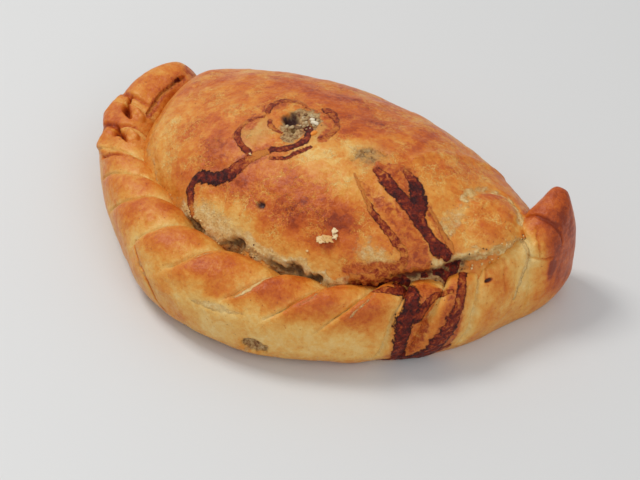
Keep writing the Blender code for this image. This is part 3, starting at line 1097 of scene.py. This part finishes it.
def loose_pieces(pocket_skin, broken_edge, shift):
    """Flakes, crumbs and bits of filling that lie on the crust or stand in its openings."""
    rng = np.random.default_rng(90)
    flake_places = np.array([(11.5, -19), (13, -18.3), (16, -16.5), (15, -15.5), (8, -24), (-30, -1)])
    flake_sizes = [(2.6, 1.7, 0.3), (2.4, 1.5, 0.4), (1.9, 1.0, 0.4), (1.6, 0.9, 0.3), (0.5, 0.4, 0.2),
                   (0.6, 0.4, 0.2)]
    centres = on_skin(pocket_skin, flake_places) + shift + (0, 0, 0.35)
    centres = np.concatenate([centres, broken_edge + shift])
    flake_sizes += [(1.6, 0.7, 0.5), (0.9, 0.5, 0.4), (1.2, 0.6, 0.4)]
    flakes = lump_cloud("loose_flakes", centres, flake_sizes, 91, 14, 28, 0.75, 0.45)
    piece("loose_flakes", flakes, bits_material("flake_pastry", (
        (0.2, (0.68, 0.37, 0.12)), (0.5, (0.79, 0.51, 0.22)), (0.8, (0.85, 0.64, 0.36))), 0.6))

    mash_places = np.array([VENT_MASH + rng.normal(0, 1, 2) * (2.8, 3.6) for _ in range(44)])
    openings = np.array(OPENINGS + ((53, -8, 5, 3), (44, -17, 4, 2)))
    openings = openings[rng.integers(0, len(openings), 64)]
    groove_places = openings[:, :2] + rng.normal(0, 0.4, (64, 2)) * openings[:, 2:]
    settled = on_skin(pocket_skin, groove_places)
    settled = settled[torn_edge_gap(settled) < -0.7]
    mash_places = mash_places[np.linalg.norm(mash_places - (-26, 22.5), axis=1) > 4.6]
    centres = np.concatenate([on_skin(pocket_skin, mash_places), settled]) + shift + (0, 0, 0.1)
    sizes = rng.uniform(0.3, 0.8, (len(centres), 1)) * rng.uniform(0.7, 1.4, (len(centres), 3)) * (1, 1, 0.6)
    filling = lump_cloud("filling_bits", centres, sizes, 92, 7, 12, 0.4)
    piece("filling_bits", filling, bits_material("filling_bits", (
        (0.1, (0.07, 0.025, 0.012)), (0.35, (0.26, 0.13, 0.05)), (0.6, (0.42, 0.27, 0.12)),
        (0.85, (0.56, 0.42, 0.24))), 0.45))

    centres = on_skin(pocket_skin, np.array([(-16, 24.5), (-17.5, 25.5)])) + shift + (0, 0, 0.5)
    potato = lump_cloud("potato_bits", centres, [(1.7, 1.1, 0.8), (1.1, 0.8, 0.6)], 93, 8, 14, 0.3)
    piece("potato_bits", potato, bits_material("potato", (
        (0.2, (0.70, 0.56, 0.36)), (0.7, (0.85, 0.76, 0.58))), 0.5))
    centres = on_skin(pocket_skin, np.array([(-13, 17.5)])) + shift + (0, 0, 0.1)
    carrot = lump_cloud("carrot_bit", centres, [(1.6, 1.1, 0.6)], 94, 8, 14, 0.3)
    piece("carrot_bit", carrot, bits_material("carrot", (
        (0.2, (0.72, 0.16, 0.015)), (0.7, (0.82, 0.26, 0.03))), 0.4))

    places = np.concatenate([along_edge(rng, 80, 0.22, 0.52, 0.9), along_edge(rng, 30, 0.86, 1.0, 0.8)])
    crumbs("pale_crumbs", rng, on_skin(pocket_skin, places) + shift + (0, 0, 0.1), (0.18, 0.5), 95,
           bits_material("crumb_pale", (
               (0.2, (0.60, 0.31, 0.09)), (0.5, (0.72, 0.45, 0.17)), (0.8, (0.80, 0.58, 0.29))), 0.7))
    places = np.concatenate([along_edge(rng, 70, 0.20, 0.60, 0.8) - (0, 1.0),
                             along_edge(rng, 40, 0.78, 1.0, 0.5)])
    crumbs("dark_crumbs", rng, on_skin(pocket_skin, places) + shift + (0, 0, 0.05), (0.15, 0.4), 96,
           bits_material("crumb_dark", (
               (0.2, (0.05, 0.02, 0.01)), (0.6, (0.14, 0.045, 0.018)), (0.9, (0.30, 0.10, 0.03))), 0.5))



def build_pasty():
    """Both skins with their relief and colours, moved to where the frame has the pasty."""
    pocket = pocket_form()
    roll, distance, angle = roll_form()
    plain = np.concatenate([pocket.reshape(-1, 3), roll.reshape(-1, 3)])
    plain = plain[plain[:, 2] > 0]
    low, high = (np.array(corner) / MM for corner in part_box("pasty"))
    shift = (low + high) / 2 - (plain.min(axis=0) + plain.max(axis=0)) / 2
    shift[2] = low[2]

    marks = pocket_marks(pocket)
    pocket_normals = outward(pocket, pocket.reshape(-1, 3).mean(axis=0))
    pocket_skin = seat(pocket + pocket_normals * pocket_relief(pocket, marks)[..., None], 0.3)
    numbers = pocket_colours(pocket, pocket_normals, marks)
    numbers["crazed"] = marks["top"] * ease(marks["edge_gap"], 0, 6)
    dome_mesh = skin_mesh("pocket_crust", (pocket_skin + shift) * MM, numbers)

    marks = roll_marks(roll, distance, angle)
    roll_normals = outward(roll, roll.mean(axis=1, keepdims=True))
    roll_skin = seat(roll + roll_normals * roll_relief(roll, marks)[..., None], 0.0)
    numbers = roll_colours(roll, marks)
    numbers["crazed"] = np.full(distance.shape, 0.25)
    roll_mesh = skin_mesh("crimped_roll", (roll_skin + shift) * MM, numbers)

    crust = crust_material()
    dome = piece("pocket_crust", dome_mesh, crust)
    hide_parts("pasty")
    piece("crimped_roll", roll_mesh, crust)
    gaps = ((distance - place)**2 + (ARC_PER_DEGREE * (angle - degrees))**2
            for place, degrees in BROKEN_FLAKES)
    broken_edge = [roll_skin.reshape(-1, 3)[np.argmin(gap)] for gap in gaps]
    loose_pieces(pocket_skin, np.array(broken_edge), shift)
    return shift


# ---------------------------------------------------------------- floor, light and camera
def studio(shift):
    """A plain pale floor, a soft window above on the left, a wider fill light from the front right, an even
    pale surround, and the camera above the front right.
    """
    mesh = bpy.data.meshes.new("floor")
    side = 3.0
    corners = [(-side, -side, 0), (side, -side, 0), (side, side, 0), (-side, side, 0)]
    mesh.from_pydata(corners, [], [(0, 1, 2, 3)])
    pale = bpy.data.materials.new("floor_pale")
    pale.use_nodes = True
    pale.node_tree.nodes["Principled BSDF"].inputs["Base Color"].default_value = (0.68, 0.67, 0.65, 1)
    pale.node_tree.nodes["Principled BSDF"].inputs["Roughness"].default_value = 0.5
    mesh.materials.append(pale)
    floor = bpy.data.objects.new("floor", mesh)
    bpy.context.scene.collection.objects.link(floor)

    world = bpy.data.worlds.new("studio")
    world.use_nodes = True
    world.node_tree.nodes["Background"].inputs["Color"].default_value = (0.93, 0.96, 1.0, 1)
    world.node_tree.nodes["Background"].inputs["Strength"].default_value = 0.56
    bpy.context.scene.world = world

    for name, place, size, power in (
        ("window", (-0.55, 0.05, 0.95), 0.35, 5.5),
        ("fill", (0.8, -0.6, 0.8), 0.9, 3.5),
    ):
        light = bpy.data.lights.new(name, "AREA")
        light.shape = "SQUARE"
        light.size = size
        light.energy = power
        lamp = bpy.data.objects.new(name, light)
        lamp.location = place
        lamp.rotation_euler = (-Vector(place)).to_track_quat("-Z", "Y").to_euler()
        bpy.context.scene.collection.objects.link(lamp)

    lens = bpy.data.cameras.new("camera")
    lens.lens = 90
    lens.clip_start = 0.05
    camera = bpy.data.objects.new("camera", lens)
    turn, height, reach = radians(30), radians(42), 0.614
    target = Vector((shift[0] * MM, shift[1] * MM, 0.020))
    back = Vector((sin(turn) * cos(height), -cos(turn) * cos(height), sin(height)))
    camera.location = target + back * reach
    camera.rotation_euler = back.to_track_quat("Z", "Y").to_euler()
    bpy.context.scene.collection.objects.link(camera)
    bpy.context.scene.camera = camera
    bpy.context.scene.view_settings.view_transform = "Standard"


SHIFT = build_pasty()
studio(SHIFT)
